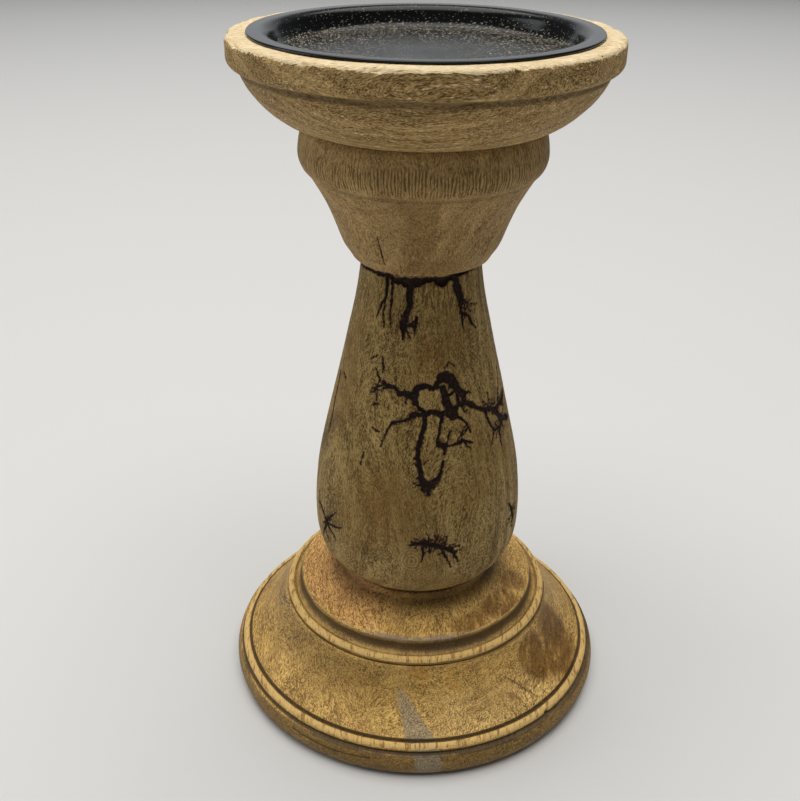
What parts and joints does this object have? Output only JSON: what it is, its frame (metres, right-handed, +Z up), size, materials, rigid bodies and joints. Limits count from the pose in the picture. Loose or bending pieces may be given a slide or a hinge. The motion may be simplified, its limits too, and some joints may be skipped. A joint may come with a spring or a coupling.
{
  "type": "pillar candle holder",
  "caption": "Turned wooden pillar candle holder: moulded round base, baluster stem, ringed collar and shallow cup with a lift-out black metal drip pan.",
  "frame": {"origin": "on the surface it stands on, on the turning axis", "axes": "+Z up along the turning axis, -Y towards the side with the main burn marks, +X to the right seen from there"},
  "size_m": [0.152, 0.152, 0.2564],
  "materials": {
    "pan_black": "gloss black enamel with dust specks",
    "cup_wood": "matt, side grain, rim worn pale",
    "collar_wood": "matt, grain upright",
    "stem_wood": "matt, grain upright, branching burns",
    "base_wood": "satin, grain front to back, grooves darkened",
    "zinc_steel": "zinc plated",
    "pad_rubber": "matt black"
  },
  "bodies": {
    "stand": {"cup": "cup_wood", "cup_screw": "zinc_steel", "collar": "collar_wood", "stem": "stem_wood", "base": "base_wood", "base_screw": "zinc_steel", "base_washer": "zinc_steel", "foot_pad_front": "pad_rubber", "foot_pad_right": "pad_rubber", "foot_pad_back": "pad_rubber", "foot_pad_left": "pad_rubber"},
    "pan": {"drip_pan": "pan_black"}
  },
  "joints": [
    {"name": "pan_lift", "type": "slide", "parent": "stand", "child": "pan", "axis": [0, 0, 1], "range_m": [0, 0.06]}
  ]
}
